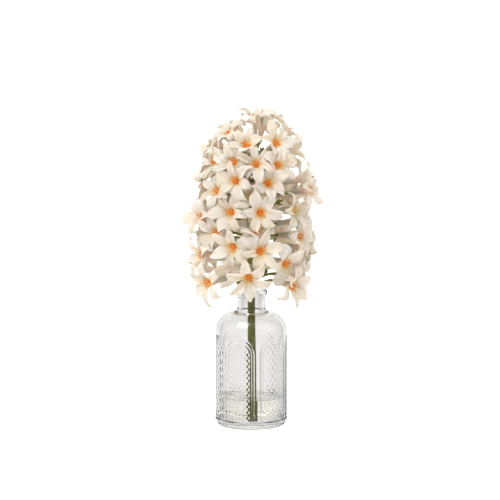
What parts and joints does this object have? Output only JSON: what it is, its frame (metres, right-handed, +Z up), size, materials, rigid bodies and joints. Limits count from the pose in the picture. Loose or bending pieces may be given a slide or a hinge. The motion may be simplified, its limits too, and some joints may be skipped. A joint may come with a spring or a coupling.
{
  "type": "hyacinth flower in a bottle vase",
  "caption": "Cut hyacinth stem with a dense head of reflexed bell florets, standing in a clear pressed-glass bottle vase with a little water.",
  "frame": {"origin": "middle of the vase's foot, on the surface it stands on", "axes": "+Z up, -Y towards the front, +X to the viewer's right as seen from the front"},
  "size_m": [0.1454, 0.1252, 0.3165],
  "materials": {
    "glass": "clear pressed glass",
    "water": "clear water",
    "stem": "waxy green stem",
    "petals": "satin cream-white petals"
  },
  "bodies": {
    "root": {"vase": "glass", "water": "water", "stem": "stem", "floret_01": "petals", "floret_02": "petals", "floret_03": "petals", "floret_04": "petals", "floret_05": "petals", "floret_06": "petals", "floret_07": "petals", "floret_08": "petals", "floret_09": "petals", "floret_10": "petals", "floret_11": "petals", "floret_12": "petals", "floret_13": "petals", "floret_14": "petals", "floret_15": "petals", "floret_16": "petals", "floret_17": "petals", "floret_18": "petals", "floret_19": "petals", "floret_20": "petals", "floret_21": "petals", "floret_22": "petals", "floret_23": "petals", "floret_24": "petals", "floret_25": "petals", "floret_26": "petals", "floret_27": "petals", "floret_28": "petals", "floret_29": "petals", "floret_30": "petals", "floret_31": "petals", "floret_32": "petals", "floret_33": "petals", "floret_34": "petals", "floret_35": "petals", "floret_36": "petals", "floret_37": "petals", "floret_38": "petals", "floret_39": "petals", "floret_40": "petals", "floret_41": "petals", "floret_42": "petals", "floret_43": "petals", "floret_44": "petals", "floret_45": "petals", "floret_46": "petals", "floret_47": "petals", "floret_48": "petals", "floret_49": "petals", "floret_50": "petals", "floret_51": "petals", "floret_52": "petals", "floret_53": "petals", "floret_54": "petals", "floret_55": "petals"}
  },
  "joints": []
}
